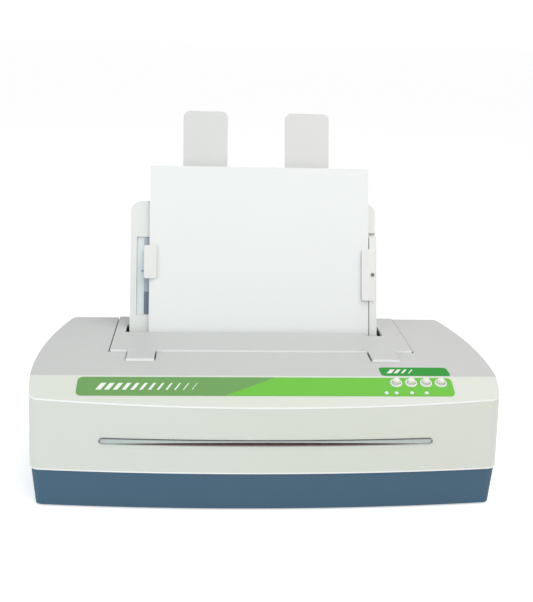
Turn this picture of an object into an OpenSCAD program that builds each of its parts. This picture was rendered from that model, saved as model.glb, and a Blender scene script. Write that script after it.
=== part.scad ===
// Sheet-fed braille printer: desktop embosser with a hinged lid, a leaning sheet feeder and an exit slot.
// Millimetres, +Z up, front of the machine towards -Y, origin on the floor under the middle of its box.

/* [Body] */
// widest point of the housing at its top edge
body_w = 525; // [519:1:533]
// depth from the front apex to the rear wall at the top edge
body_d = 277; // [275:1:284]
// height of the flat top above the floor
top_z = 141; // [139:0.5:145]
// height of the seam between base pan and housing
seam_z = 45.5; // [44:0.5:47]
// height of the rubber feet
foot_h = 2; // [1.5:0.5:3]
// wall thickness of the moulded shells
wall = 3; // [2.6:0.1:3.4]
// plan radius of the bowed front
front_bow_r = 2400; // [2200:50:3000]
// plan radius of the bowed sides
side_bow_r = 660; // [630:10:740]
// depth at which the sides are widest
widest_y = 110; // [104:1:116]
// plan radius of the two front corners
front_corner_r = 12; // [9:1:15]
// plan radius of the two rear corners
rear_corner_r = 8; // [6:1:11]
// outward draft of the housing from its top to the seam
house_draft = 2.2; // [1.4:0.1:2.8]
// inward draft of the base pan from the seam to its floor
base_draft = 3.6; // [2.4:0.1:4.4]
// step in from the housing to the base pan at the seam
base_inset = 1.5; // [1:0.1:2]
// depth of the crease where the control band starts
crease_y = 47; // [46:0.5:49]
// slope of the control band below the horizontal
band_angle = 21.5; // [20:0.1:22]
// thickness of the separate top cover
cover_t = 3; // [2.6:0.1:3.2]

/* [Lid] */
// width of the hinged lid
lid_w = 361; // [356:1:364]
// depth of the lid's front edge
lid_front_y = 131.5; // [130:0.5:134]
// thickness of the lid plate
lid_t = 4; // [3.6:0.1:4.4]
// height of the lid above the cover round it
lid_raise = 2.5; // [2:0.1:3]
// seam between the lid and the cover
lid_gap = 0.8; // [0.6:0.1:1.2]
// seam on each side of the lid
lid_side_gap = 2; // [1.6:0.1:2.4]
// distance of each lifting tab from the middle
tab_x = 143; // [138:1:148]
// width of a lifting tab
tab_w = 32.4; // [28:0.2:36]
// reach of a lifting tab in front of the lid
tab_reach = 35.5; // [32:0.5:40]
// extra height of the lip along a tab's front
tab_lip = 0.8; // [0.4:0.1:1.2]
// seam between a tab and the notch it lies in
tab_gap = 1.4; // [1:0.1:1.8]
// radius of the hinge barrel
hinge_r = 4.9; // [4.6:0.1:5]
// radius of the hinge pins
hinge_pin_r = 2; // [1.8:0.1:2.2]
// distance of each hinge bracket from the lid's end
bracket_in = 30.5; // [26:0.5:34]
// width of a hinge bracket
bracket_w = 14; // [12:1:16]

/* [Sheet feeder] */
// lean of the feeder back from the vertical
lean = 18; // [17:0.25:18.5]
// depth at which the front sheet passes the top
throat_y = 208; // [207:0.5:209]
// width of a sheet
paper_w = 279.4; // [276:0.2:279.6]
// depth of the stack's foot below the top down the lean
stack_down = 66.9; // [65.5:0.1:67.5]
// height of the sheets' top edge up the lean
paper_up = 212.5; // [211.5:0.5:214]
// thickness of the loaded stack
paper_t = 6; // [3:0.5:6]
// reach of the tray to the left of the middle
tray_left = 164; // [163:0.5:166]
// reach of the tray to the right of the middle
tray_right = 150; // [149:0.5:152]
// height of the tray up the lean
tray_up = 168; // [164:1:176]
// depth of the tray below the top down the lean
tray_down = 45; // [40:1:48]
// thickness of the tray
tray_t = 5; // [4.4:0.1:5.4]
// radius of the tray's upper corners
tray_corner_r = 14; // [8:1:18]
// width of each paper support
support_w = 57; // [50:1:60]
// distance of the left support from the middle
support_left_x = 70; // [68:0.5:72]
// distance of the right support from the middle
support_right_x = 61; // [59:0.5:63]
// top of the left support up the lean
support_left_up = 286.5; // [280:0.5:290]
// top of the right support up the lean
support_right_up = 285.5; // [279:0.5:286.5]
// length of a support
support_l = 168; // [160:1:172]
// thickness of a support
support_t = 2.2; // [1.8:0.1:2.6]
// radius of the supports' upper corners
support_corner_r = 8; // [5:0.5:10]
// bottom of the left edge guide up the lean
guide_left_up = 68.5; // [66:0.5:72]
// height of the left edge guide
guide_left_h = 42; // [38:1:46]
// bottom of the right edge guide up the lean
guide_right_up = 42.5; // [38:0.5:46]
// height of the right edge guide
guide_right_h = 66; // [60:1:70]
// reach of an edge guide over the front of the sheets
guide_lap = 9.7; // [8:0.1:11]
// bottom of the track window up the lean
window_up = 23; // [21:0.5:26]
// height of the track window
window_h = 99; // [95:0.5:103]

/* [Controls] */
// width of the printed overlay strip
overlay_w = 413; // [408:1:418]
// depth of the overlay strip along the band
overlay_d = 30; // [29:0.2:31]
// thickness of the overlay strip
overlay_t = 0.6; // [0.4:0.1:0.8]
// distance of the first push button from the middle
button_x = 143.5; // [142:0.5:145]
// spacing of the push buttons
button_pitch = 16.7; // [16:0.1:17]
// diameter of a button cap
button_d = 9; // [8.7:0.1:9.2]
// diameter of the ring round a button
ring_d = 14; // [13.6:0.1:14.4]
// travel of a push button
button_travel = 1.2; // [0.8:0.1:1.2]
// diameter of an indicator lens
led_d = 4.7; // [4.2:0.1:5]

/* [Exit slot] */
// width of the exit slot's metal rim
slot_w = 363; // [356:1:366]
// height of the rim
slot_h = 7.5; // [7.4:0.1:8]
// thickness of the rim
slot_rim = 0.8; // [0.6:0.05:1]
// width of the gap that the sheets leave by
gap_w = 336; // [330:1:340]
// height of that gap at its middle
gap_h = 3.6; // [3.2:0.1:3.8]
// height of the slot's middle
slot_z = 81; // [80:0.1:81.6]

/* [Mechanism] */
// height of the level paper path between the rollers
path_z = 75; // [74.6:0.1:75.6]
// radius of the feed and exit rollers
roller_r = 9; // [8.6:0.1:9.4]
// gap between a driven roller and its pinch roller
nip_gap = 0.4; // [0.3:0.05:0.6]
// radius of the driven roller shafts
shaft_r = 4; // [3.6:0.1:4.2]
// depth of the feed rollers
feed_y = 150; // [149:0.5:150.5]
// half distance between the side frames
frame_x = 195; // [193:0.5:197]
// thickness of the side frames and of the chassis plate
frame_t = 2; // [1.6:0.1:2.4]
// radius of the carriage rails
rail_r = 5; // [4.6:0.1:5.2]
// tooth module of the feed gears
gear_m = 1; // [1:0.01:1.01]
// radius of the belt pulleys
pulley_r = 8; // [7.6:0.1:8.4]
// distance of the belt pulleys from the middle
pulley_x = 172; // [171:0.5:174]
// diameter of the pick rollers
pick_d = 24; // [22:0.5:24]

/* [Fits] */
// radial clearance of a shaft in its bearing
run_gap = 0.05; // [0.03:0.01:0.08]
// clearance of a sliding piece in its guide
slide_gap = 0.4; // [0.3:0.05:0.5]
// groove round a button cap inside its ring
button_gap = 0.5; // [0.4:0.05:0.6]
// gap left where two separate pieces touch
seat_gap = 0.2; // [0.1:0.05:0.3]
// film of glue or solder between two pieces
skin_gap = 0.04; // [0.02:0.01:0.06]

/* [Hidden] */
$fn = 72;
arc_n = 24;
corner_n = 8;

// plan outline: arc centres of the front, the sides and the corners between them
side_c = [body_w / 2 - side_bow_r, widest_y];
front_c = [0, front_bow_r];
function meet(c1, r1, c2, r2) =
  let (v = c2 - c1, d = norm(v), a = (d * d + r1 * r1 - r2 * r2) / (2 * d), h = sqrt(r1 * r1 - a * a))
  c1 + v * a / d + [-v[1], v[0]] * h / d;
fc = meet(front_c, front_bow_r - front_corner_r, side_c, side_bow_r - front_corner_r);
rc_y = body_d - rear_corner_r;
rc = [side_c[0] + sqrt(pow(side_bow_r - rear_corner_r, 2) - pow(rc_y - widest_y, 2)), rc_y];
front_end = atan2(fc[1] - front_c[1], fc[0] - front_c[0]);
side_start = atan2(fc[1] - side_c[1], fc[0] - side_c[0]);
side_end = atan2(rc[1] - side_c[1], rc[0] - side_c[0]);
function arc(c, r, a0, a1, n, first) =
  [for (i = [first:n]) let (a = a0 + (a1 - a0) * i / n) c + r * [cos(a), sin(a)]];
function half_outline(d) = concat(
  [[0, -d]],
  arc(front_c, front_bow_r + d, -90, front_end, arc_n, 1),
  arc(fc, front_corner_r + d, front_end, side_start, corner_n, 1),
  arc(side_c, side_bow_r + d, side_start, side_end, arc_n, 1),
  arc(rc, rear_corner_r + d, side_end, 90, corner_n, 1));
function outline(d) =
  let (h = half_outline(d), n = len(h))
  concat(h, [for (i = [n - 1:-1:1]) [-h[i][0], h[i][1]]]);
function house_d(z) = house_draft * (top_z - z) / (top_z - seam_z);
base_top_d = house_draft - base_inset;
function base_d(z) = base_top_d - base_draft * (seam_z - z) / (seam_z - foot_h);
function bow(x) = front_bow_r - sqrt(front_bow_r * front_bow_r - x * x);

// levels
cover_z = top_z - cover_t;
lid_z = top_z + lid_raise;
lid_under = lid_z - lid_t;
hinge_y = body_d - hinge_r - 0.1;
hinge_z = lid_z - hinge_r - 0.1;
bracket_x = lid_w / 2 - bracket_in;
base_floor = foot_h + wall;
deck_z = base_floor + 8;
plate_z = deck_z + frame_t;

// feeder frame: local x across, y back through the stack, z up the lean
paper_l = paper_up + stack_down;
tray_y = paper_t + 0.5;
tray_back = tray_y + tray_t;
sup_y = tray_back + slide_gap;
sup_back = sup_y + support_t;
lip_y = sup_back + slide_gap;
stack_y = tray_y - paper_t - seat_gap;
window_left = tray_left - 8;
window_right = 108;
guide_in = 0.5;
guide_front = -4;
flap_t = 2.5;
guide_wall_x = paper_w / 2 + guide_in;
slot_left = tray_left + 4;
slot_right = tray_right + 4.6;
slot_front = throat_y - 5.2;
slot_back = throat_y + tray_back * cos(lean) + lid_raise * tan(lean) + 2.3;
ear_back = slot_front + 35;
ear_gap = 0.6;
notch_front = slot_front - 11;
notch_left = 133;
fence_x = guide_wall_x + 0.3;
fence_front = guide_front + flap_t;
fence_down = -12;
groove_up = window_up + window_h + 3;
track_in = 2.2;

// pick shaft, below the lid in front of the stack
pick_r = pick_d / 2;
pick_y = stack_y - pick_r - 0.3;
pick_up = -40;
pick_arm_x = 88;
pick_arm_t = 4;

// rollers and gears
exit_y = feed_y - 98 * gear_m;
roll_z = path_z - roller_r;
pinch_r = 7;
pinch_z = path_z + nip_gap + pinch_r;
pinch_shaft_r = 3;
exit_pinch_r = 6;
exit_pinch_z = path_z + nip_gap + exit_pinch_r;
feed_n = 36;
idler_n = 62;
pinion_n = 16;
idler_y = feed_y - gear_m * (feed_n + idler_n) / 2;
pinion_y = feed_y + gear_m * (feed_n + pinion_n) / 2;
gear_x = frame_x + frame_t + 2;
gear_w = 8;
motor_shaft_r = 2.5;
axle_r = 3;

// carriages, rails and belts
rail_a = 84;
rail_b = 112;
rail_lo = plate_z + 24;
rail_hi = path_z + 25;
car_w = 44;
line_y = (rail_a + rail_b) / 2;
belt_y = 140;
belt_lo = plate_z + 36;
belt_hi = rail_hi;
belt_w = 6;
post_r = 3;
post_top = rail_hi + 12;
frame_top = post_top + 10;

// rear wall fittings
inlet_x = -150;
switch_x = -112;
power_z = 80;
board_z = 52;
rear_y = body_d + house_d(power_z);
usb_x = 40;
port_x = 100;
port_z = board_z + 9;

y_front = -house_draft;
y_back = throat_y + support_left_up * sin(lean) + sup_back * cos(lean);
y_mid = (y_front + y_back) / 2;

// shared shapes

// moves a child from the measuring bench (front apex at y = 0) into the shared frame
module bench() {
  translate([0, -y_mid, 0]) children();
}

module feeder() {
  bench() translate([0, throat_y, top_z]) rotate([-lean, 0, 0]) children();
}

module band() {
  bench() translate([0, crease_y, top_z]) rotate([band_angle, 0, 0]) children();
}

// prism across the machine from a profile drawn as [y, z]
module across(x0, x1) {
  translate([x0, 0, 0]) rotate([90, 0, 90]) linear_extrude(x1 - x0) children();
}

// prism from front to back from a profile drawn as [x, z]
module through(y0, y1) {
  translate([0, y1, 0]) rotate([90, 0, 0]) linear_extrude(y1 - y0) children();
}

module rod_x(r, x0, x1, y, z) {
  translate([x0, y, z]) rotate([0, 90, 0]) cylinder(r = r, h = x1 - x0);
}

module block(lo, hi) {
  translate(lo) cube(hi - lo);
}

function round_rect(x0, y0, x1, y1, r0, r1) = concat(
  arc([x1 - r0, y0 + r0], r0, -90, 0, corner_n, 0),
  arc([x1 - r1, y1 - r1], r1, 0, 90, corner_n, 0),
  arc([x0 + r1, y1 - r1], r1, 90, 180, corner_n, 0),
  arc([x0 + r0, y0 + r0], r0, 180, 270, corner_n, 0));

function stadium(half_l, half_h, z) = concat(
  arc([half_l - half_h, z], half_h, -90, 90, 16, 0),
  arc([half_h - half_l, z], half_h, 90, 270, 16, 0));

// body between two levels whose plan outline is offset by d0 below and d1 above
module loft(z0, d0, z1, d1) {
  lower = outline(d0);
  upper = outline(d1);
  n = len(lower);
  points = concat([for (p = lower) [p[0], p[1], z0]], [for (p = upper) [p[0], p[1], z1]]);
  sides = [for (i = [0:n - 1]) let (j = (i + 1) % n) [i, n + i, n + j, j]];
  polyhedron(points, concat([[for (i = [0:n - 1]) i], [for (i = [n - 1:-1:0]) n + i]], sides));
}

function tooth(n, i) =
  let (r = gear_m * n / 2, a = 360 * i / n, k = 180 / PI)
  [for (p = [[-1.25, -0.98], [0, -0.7], [1, -0.36], [1, 0.36], [0, 0.7], [-1.25, 0.98]])
    let (q = r + p[0] * gear_m, t = a + k * p[1] * gear_m / q) q * [cos(t), sin(t)]];

// spur gear on an axis across the machine, with a tooth towards the rear at phase 0
module gear(n, phase, bore) {
  difference() {
    across(gear_x, gear_x + gear_w)
      rotate(phase * 180 / n) polygon([for (i = [0:n - 1]) each tooth(n, i)]);
    rod_x(bore, gear_x - 1, gear_x + gear_w + 1, 0, 0);
  }
}

module screw_head(r, h) {
  difference() {
    cylinder(r = r, h = h);
    translate([-r * 0.6, -0.4, h - 0.6]) cube([r * 1.2, 0.8, 1]);
    translate([-0.4, -r * 0.6, h - 0.6]) cube([0.8, r * 1.2, 1]);
  }
}

// body shells

foot_x = body_w / 2 - 58;
foot_ys = [44, body_d - 44];
boss_x = 190;
boss_ys = [40, 140, 240];

// blue lower pan that carries the chassis on bosses
module base_pan() {
  color([0.31, 0.43, 0.51]) bench() {
    difference() {
      loft(foot_h, base_d(foot_h), seam_z, base_d(seam_z));
      loft(base_floor, base_d(base_floor) - wall, seam_z + 1, base_d(seam_z + 1) - wall);
      for (i = [-7:7])
        block([i * 14 - 1.5, 70, foot_h - 1], [i * 14 + 1.5, 110, base_floor + 1]);
    }
    for (s = [-1, 1], y = boss_ys)
      translate([s * boss_x, y, base_floor - 0.5]) cylinder(r = 6, h = deck_z - base_floor + 0.5);
  }
}

// four feet under the corners
module rubber_feet() {
  color([0.1, 0.1, 0.1]) bench() for (s = [-1, 1], y = foot_ys)
    translate([s * foot_x, y, 0]) {
      cylinder(r1 = 9, r2 = 10, h = 1);
      translate([0, 0, 1]) cylinder(r = 10, h = foot_h - 1);
    }
}

function band_z(y) = top_z - (crease_y - y) * tan(band_angle);
band_drop = wall / cos(band_angle);
ledge_z = band_z(crease_y - 8) - band_drop;
rear_vents = [for (i = [0:9]) 10 + i * 9];

sleeve_r = button_d / 2 + button_gap + 1;
collar_r = button_d / 2 + button_gap + 0.4;

module button_places() {
  for (i = [0:3])
    translate([button_x + i * button_pitch, -overlay_edge - 9, 0]) children();
}

overlay_edge = 3;
led_xs = [button_x - 13, button_x - 1.8, button_x + 15.3, button_x + 31.5];

module led_places() {
  for (x = led_xs)
    translate([x, -overlay_edge - 25.2, 0]) children();
}

// cream housing: bowed front, sides and rear, and the sloped control band
module main_housing() {
  color([0.87, 0.88, 0.85]) {
    difference() {
      bench() difference() {
        intersection() {
          loft(seam_z, house_d(seam_z), top_z, 0);
          across(-body_w, body_w) polygon([
            [-60, 0], [-60, band_z(-60)], [crease_y - 0.2, band_z(crease_y - 0.2)],
            [crease_y - 0.2, cover_z], [2 * body_d, cover_z], [2 * body_d, 0]]);
        }
        intersection() {
          loft(seam_z - 1, house_d(seam_z - 1) - wall, top_z + 1, house_d(top_z + 1) - wall);
          across(-body_w, body_w) polygon([
            [-60, 0], [-60, band_z(-60) - band_drop],
            [crease_y - 8, ledge_z], [crease_y + 12, ledge_z],
            [crease_y + 12, 2 * top_z], [2 * body_d, 2 * top_z], [2 * body_d, 0]]);
        }
        through(-20, 40) polygon(stadium(slot_w / 2 + 0.1, slot_h / 2 + 0.1, slot_z));
        block([-lid_w / 2 - lid_side_gap, body_d - 2 * wall, hinge_z - hinge_r - 0.8],
          [lid_w / 2 + lid_side_gap, body_d + 20, top_z + 5]);
        block([inlet_x - 13.7, body_d - 10, power_z - 10], [inlet_x + 13.7, body_d + 20, power_z + 10]);
        block([switch_x - 6.6, body_d - 10, power_z - 9.7], [switch_x + 6.6, body_d + 20, power_z + 9.7]);
        block([usb_x - 6.5, body_d - 10, port_z - 6], [usb_x + 6.5, body_d + 20, port_z + 6]);
        block([port_x - 27, body_d - 10, port_z - 6.6], [port_x + 27, body_d + 20, port_z + 6.6]);
        for (x = rear_vents)
          block([x - 1.6, body_d - 10, 88], [x + 1.6, body_d + 20, 112]);
      }
      band() button_places() translate([0, 0, -12]) cylinder(r = sleeve_r + seat_gap, h = 24);
      band() led_places() translate([0, 0, -12]) cylinder(r = led_d / 2 + 0.1, h = 24);
    }
  }
}

tab_lap = 6;

// grey flat top round three sides of the lid, notched under the lifting tabs
module top_cover() {
  color([0.77, 0.78, 0.78]) bench() difference() {
    translate([0, 0, cover_z]) linear_extrude(cover_t) intersection() {
      polygon(outline(0));
      translate([-body_w, crease_y]) square([2 * body_w, body_d]);
    }
    block([-lid_w / 2 - lid_side_gap, lid_front_y - lid_gap, cover_z - 5],
      [lid_w / 2 + lid_side_gap, 2 * body_d, top_z + 5]);
    for (s = [-1, 1])
      block([s * tab_x - tab_w / 2 - tab_gap, lid_front_y - tab_reach + tab_lap, cover_z - 5],
        [s * tab_x + tab_w / 2 + tab_gap, lid_front_y, top_z + 5]);
  }
}

// grey lid with its lifting tabs, the feed throat and the hinge barrel
module lid() {
  color([0.78, 0.79, 0.79]) bench() difference() {
    union() {
      block([-lid_w / 2, lid_front_y, lid_under], [lid_w / 2, hinge_y, lid_z]);
      rod_x(hinge_r, -lid_w / 2, lid_w / 2, hinge_y, hinge_z);
      block([-lid_w / 2 + 8, lid_front_y + 3, lid_under - 5],
        [lid_w / 2 - 8, lid_front_y + 6, lid_under + 1]);
      for (s = [-1, 1])
        translate([s * tab_x, lid_front_y, top_z + seat_gap]) {
          block([-tab_w / 2, -tab_reach, 0], [tab_w / 2, 5, lid_raise - seat_gap - 0.05]);
          block([-tab_w / 2, -tab_reach, 0], [tab_w / 2, -tab_reach + 3, lid_raise - seat_gap + tab_lip]);
        }
    }
    block([-slot_left, slot_front, lid_under - 20], [slot_right, slot_back, lid_z + 5]);
    block([-slot_left, slot_front, lid_under - 20], [-tray_left - ear_gap, ear_back, lid_z + 5]);
    block([tray_right + ear_gap, slot_front, lid_under - 20], [slot_right, ear_back, lid_z + 5]);
    block([notch_left, notch_front, lid_under - 20], [slot_right, slot_back, lid_z + 5]);
    for (s = [-1, 1])
      translate([s * bracket_x, 0, 0])
        block([-bracket_w / 2 - 0.5, hinge_y - hinge_r - 2.5, hinge_z - 20],
          [bracket_w / 2 + 0.5, hinge_y + 20, lid_z + 5]);
    rod_x(hinge_pin_r + run_gap, -lid_w, lid_w, hinge_y, hinge_z);
  }
}

// knuckles on the rear wall that hold the hinge pins
module hinge_brackets() {
  color([0.3, 0.3, 0.32]) bench() for (s = [-1, 1])
    translate([s * bracket_x, 0, 0]) difference() {
      union() {
        rod_x(hinge_r, -bracket_w / 2, bracket_w / 2, hinge_y, hinge_z);
        block([-bracket_w / 2, hinge_y - hinge_r + 0.3, hinge_z - 28],
          [bracket_w / 2, body_d - wall - 0.1, hinge_z]);
      }
      rod_x(hinge_pin_r + run_gap, -20, 20, hinge_y, hinge_z);
    }
}

// two steel pins the lid turns on
module hinge_pins() {
  color([0.7, 0.71, 0.72]) bench() for (s = [-1, 1])
    rod_x(hinge_pin_r, s * bracket_x - 24, s * bracket_x + 24, hinge_y, hinge_z);
}

// control band

// thin printed strip on the sloped band
module control_overlay() {
  color([0.46, 0.75, 0.32]) band() difference() {
    translate([0, 0, skin_gap]) linear_extrude(overlay_t - skin_gap)
      polygon(round_rect(-overlay_w / 2, -overlay_edge - overlay_d, overlay_w / 2, -overlay_edge, 6, 6));
    button_places() translate([0, 0, -5]) cylinder(r = sleeve_r + seat_gap, h = 10);
    led_places() translate([0, 0, -5]) cylinder(r = led_d / 2 + 0.1, h = 10);
  }
}

// flanged rings that guide the button caps
module button_rings() {
  color([0.86, 0.87, 0.84]) band() button_places() difference() {
    union() {
      translate([0, 0, -wall - 0.5]) cylinder(r = sleeve_r, h = wall + overlay_t + 1);
      translate([0, 0, overlay_t]) cylinder(r1 = ring_d / 2, r2 = ring_d / 2 - 0.8, h = 1.5);
    }
    translate([0, 0, -10]) cylinder(r = button_d / 2 + button_gap, h = 20);
  }
}

stem_end = -6.6;

// one button: cap, retaining collar and stem
module push_button(i) {
  color([0.93, 0.93, 0.9]) band()
    translate([button_x + i * button_pitch, -overlay_edge - 9, 0]) {
      translate([0, 0, -4.6]) cylinder(r = button_d / 2, h = 6.7 + overlay_t);
      translate([0, 0, 2.1 + overlay_t]) cylinder(r1 = button_d / 2, r2 = button_d / 2 - 0.7, h = 0.5);
      translate([0, 0, -wall - 1.7]) cylinder(r = collar_r, h = 0.9);
      translate([0, 0, stem_end]) cylinder(r = 1.6, h = 2.5);
    }
}

module push_button_1() {
  push_button(0);
}

module push_button_2() {
  push_button(1);
}

module push_button_3() {
  push_button(2);
}

module push_button_4() {
  push_button(3);
}

// clear lenses over the indicators
module led_lenses() {
  color([0.9, 0.93, 0.9]) band() led_places() {
    translate([0, 0, -wall - 1.5]) cylinder(r = led_d / 2, h = wall + 1.5 + overlay_t + 0.4);
    translate([0, 0, overlay_t + 0.4]) cylinder(r1 = led_d / 2, r2 = led_d / 2 - 0.9, h = 0.7);
  }
}

board_back = -12;
switch_top = stem_end - button_travel - seat_gap;

// circuit board with four switches and four indicators behind the band
module button_board() {
  color([0.12, 0.4, 0.22]) band() {
    block([button_x - 24, -40, board_back], [button_x + 3 * button_pitch + 14, -3, board_back + 1.6]);
    button_places() {
      translate([-3, -3, board_back + 1]) cube([6, 6, 2.4]);
      translate([0, 0, board_back + 3]) cylinder(r = 1.4, h = switch_top - board_back - 3);
    }
    led_places() translate([0, 0, board_back + 1]) cylinder(r = 1.6, h = 5);
    for (x = [button_x - 20, button_x + 3 * button_pitch + 10])
      translate([x, -36, board_back + 1]) cylinder(r = 2.5, h = -wall - skin_gap - board_back - 1);
  }
}

lip_z = slot_z - slot_h / 2 + slot_rim;
gap_r = (gap_w * gap_w / 4 + gap_h * gap_h) / (2 * gap_h);
gap_a = asin(gap_w / 2 / gap_r);

// trims a prism to the bow of the front, set back from its lower edge
module bowed(back) {
  intersection() {
    children();
    translate([0, front_bow_r, 0]) cylinder(r = front_bow_r + house_draft - back, h = 2 * top_z, $fn = 1024);
  }
}

// polished mouthpiece of the exit slot, with a gap that closes towards both ends
module slot_bezel() {
  color([0.75, 0.75, 0.74]) bench() difference() {
    union() {
      bowed(0.05) through(-20, 10) difference() {
        polygon(stadium(slot_w / 2, slot_h / 2, slot_z));
        polygon(stadium(slot_w / 2 - slot_rim, slot_h / 2 - slot_rim, slot_z));
      }
      bowed(1.4) through(-20, 10) polygon(stadium(slot_w / 2 - 0.3, slot_h / 2 - 0.3, slot_z));
    }
    through(-30, 30) polygon(arc([0, lip_z + gap_h - gap_r], gap_r, 90 - gap_a, 90 + gap_a, arc_n, 0));
  }
}

chute_y = 11;
chute_x = slot_w / 2 - 8;

// sheet metal plates that lead a sheet from the feed rollers up to the slot
module paper_guides() {
  color([0.72, 0.73, 0.74]) bench() {
    block([-frame_x, exit_y + 11, path_z - 3.4], [frame_x, line_y - 8, path_z - 1.9]);
    block([-frame_x, line_y + 8, path_z - 3.4], [frame_x, belt_y - 5, path_z - 1.9]);
    across(-chute_x, chute_x) polygon([
      [chute_y, lip_z - 1.7], [exit_y - 11, path_z - 3.4],
      [exit_y - 11, path_z - 1.9], [chute_y, lip_z - 0.2]]);
    block([-frame_x, exit_y - 14, path_z - 4.4], [frame_x, exit_y - 11, path_z - 2.9]);
  }
}

// sheet feeder

module support_rails(x, w) {
  for (s = [-1, 1])
    translate([x + s * (w / 2 + slide_gap + 1.5), 0, 0]) {
      block([-1.5, tray_back - 0.5, 8], [1.5, lip_y + 2, tray_up - 4]);
      translate([-s * 3, 0, 0]) block([-4.5, lip_y, 8], [4.5, lip_y + 2, tray_up - 4]);
    }
}

// leaning tray with wings beside the sheets, a fence on the right, rails for the supports and feet on the lid
module feeder_tray() {
  color([0.92, 0.92, 0.91]) {
    feeder() difference() {
      union() {
        through(tray_y, tray_back)
          polygon(round_rect(-tray_left, -tray_down, tray_right, tray_up, 2, tray_corner_r));
        support_rails(-support_left_x, support_w);
        support_rails(support_right_x, support_w);
        block([fence_x, fence_front, fence_down], [tray_right, tray_y + 1, groove_up]);
      }
      block([-window_left, 0, window_up], [-window_right, 40, window_up + window_h]);
      block([fence_x - 2, 0, groove_up], [tray_right + 5, tray_y + 3, groove_up + 5]);
    }
    for (x = [-tray_left, tray_right - 24])
      bench() difference() {
        block([x, slot_back - 3.5, lid_z], [x + 24, slot_back + 18, lid_z + 5]);
        translate([x + 12, slot_back + 10, lid_z - 1]) cylinder(r = 1.7, h = 10);
      }
  }
}

// pale track plate that closes the tray's window from behind
module guide_track() {
  color([0.8, 0.85, 0.89]) feeder() {
    block([-window_left + seat_gap, tray_y + track_in, window_up + seat_gap],
      [-window_right - seat_gap, tray_back + 0.5, window_up + window_h - seat_gap]);
    block([-window_left - 4, tray_back, window_up - 4],
      [-window_right + 4, tray_back + 1.5, window_up + window_h + 4]);
  }
}

// dark slide that carries the left edge guide along the track, with its pointer
module guide_slider() {
  color([0.3, 0.34, 0.42]) feeder() {
    block([-guide_wall_x - 6, tray_y + 0.3, window_up + 1],
      [-guide_wall_x - 0.6, tray_y + track_in - seat_gap, window_up + window_h - 1]);
    block([-guide_wall_x - 10.3, tray_y + 0.3, guide_left_up + 9],
      [-guide_wall_x - 5, tray_y + track_in - seat_gap, guide_left_up + 11.2]);
  }
}

// clip that laps one edge of the stack, mirrored for the other edge
module edge_guide(s, w, up, h, back) {
  difference() {
    union() {
      through(guide_front, guide_front + flap_t)
        polygon(round_rect(s > 0 ? guide_wall_x - guide_lap : -guide_wall_x - w, up,
          s > 0 ? guide_wall_x + w : guide_lap - guide_wall_x, up + h, 2.5, 2.5));
      block([s > 0 ? guide_wall_x : -guide_wall_x - w, guide_front + 1, up + 2.5],
        [s > 0 ? guide_wall_x + w : -guide_wall_x, back, up + h - 2.5]);
    }
    translate([s * (guide_wall_x - 4.5), guide_front - 1, up + h - 11])
      cube([3.4, 1.5, 3.4], center = true);
  }
}

module edge_guide_left() {
  color([0.93, 0.91, 0.9]) feeder()
    edge_guide(-1, 5.8, guide_left_up, guide_left_h, tray_y + 0.3);
}

module edge_guide_right() {
  color([0.93, 0.93, 0.91]) feeder()
    edge_guide(1, 7.6, guide_right_up, guide_right_h, fence_front);
}

module paper_support(x, up) {
  color([0.89, 0.89, 0.89]) feeder()
    through(sup_y, sup_back)
      polygon(round_rect(x - support_w / 2, up - support_l, x + support_w / 2, up, 2, support_corner_r));
}

module paper_support_left() {
  paper_support(-support_left_x, support_left_up);
}

module paper_support_right() {
  paper_support(support_right_x, support_right_up);
}

// loaded sheets
module paper_stack() {
  color([0.95, 0.96, 0.97]) feeder()
    block([-paper_w / 2, stack_y, -stack_down], [paper_w / 2, stack_y + paper_t, paper_up]);
}

// screws of the tray feet and of the fixed edge guide
module feeder_screws() {
  color([0.66, 0.67, 0.68]) {
    for (x = [-tray_left, tray_right - 24])
      bench() translate([x + 12, slot_back + 10, lid_z]) {
        translate([0, 0, 5]) screw_head(3.2, 2);
        cylinder(r = 1.6, h = 6);
      }
    feeder() translate([guide_wall_x + 4, guide_front, guide_right_up + guide_right_h / 2])
      rotate([90, 0, 0]) screw_head(2.4, 1);
  }
}

// bracket under the lid for the pick shaft
module pick_bracket() {
  color([0.25, 0.26, 0.28]) difference() {
    intersection() {
      feeder() union() {
        for (x = [-pick_arm_x, pick_arm_x])
          block([x - pick_arm_t / 2, pick_y - 8, pick_up - 8], [x + pick_arm_t / 2, pick_y + 6, 20]);
        block([-pick_arm_x, pick_y - 8, pick_up + 18], [pick_arm_x, pick_y - 6, 20]);
      }
      bench() block([-200, 0, 0], [200, body_d, lid_under - 0.05]);
    }
    feeder() rod_x(shaft_r + run_gap, -200, 200, pick_y, pick_up);
  }
}

module pick_shaft() {
  color([0.72, 0.73, 0.74]) feeder()
    rod_x(shaft_r, -pick_arm_x - 6, pick_arm_x + pick_arm_t / 2 + 8, pick_y, pick_up);
}

// two rubber tyres on the pick shaft
module pick_rollers() {
  color([0.16, 0.16, 0.17]) feeder() for (x = [-45, 45])
    difference() {
      rod_x(pick_r, x - 14, x + 14, pick_y, pick_up);
      rod_x(shaft_r, x - 20, x + 20, pick_y, pick_up);
    }
}

// small gear motor at the end of the pick shaft
module pick_motor() {
  x0 = pick_arm_x + pick_arm_t / 2;
  color([0.55, 0.56, 0.58]) feeder() difference() {
    union() {
      rod_x(10.5, x0, x0 + 26, pick_y, pick_up);
      rod_x(5, x0 + 25, x0 + 29, pick_y, pick_up);
    }
    rod_x(shaft_r + run_gap, x0 - 5, x0 + 9, pick_y, pick_up);
  }
}

ramp_x = 148;
stack_foot_y = throat_y - stack_down * sin(lean) + (stack_y + paper_t) * cos(lean);
stack_foot_z = top_z - stack_down * cos(lean) - (stack_y + paper_t) * sin(lean);

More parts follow.
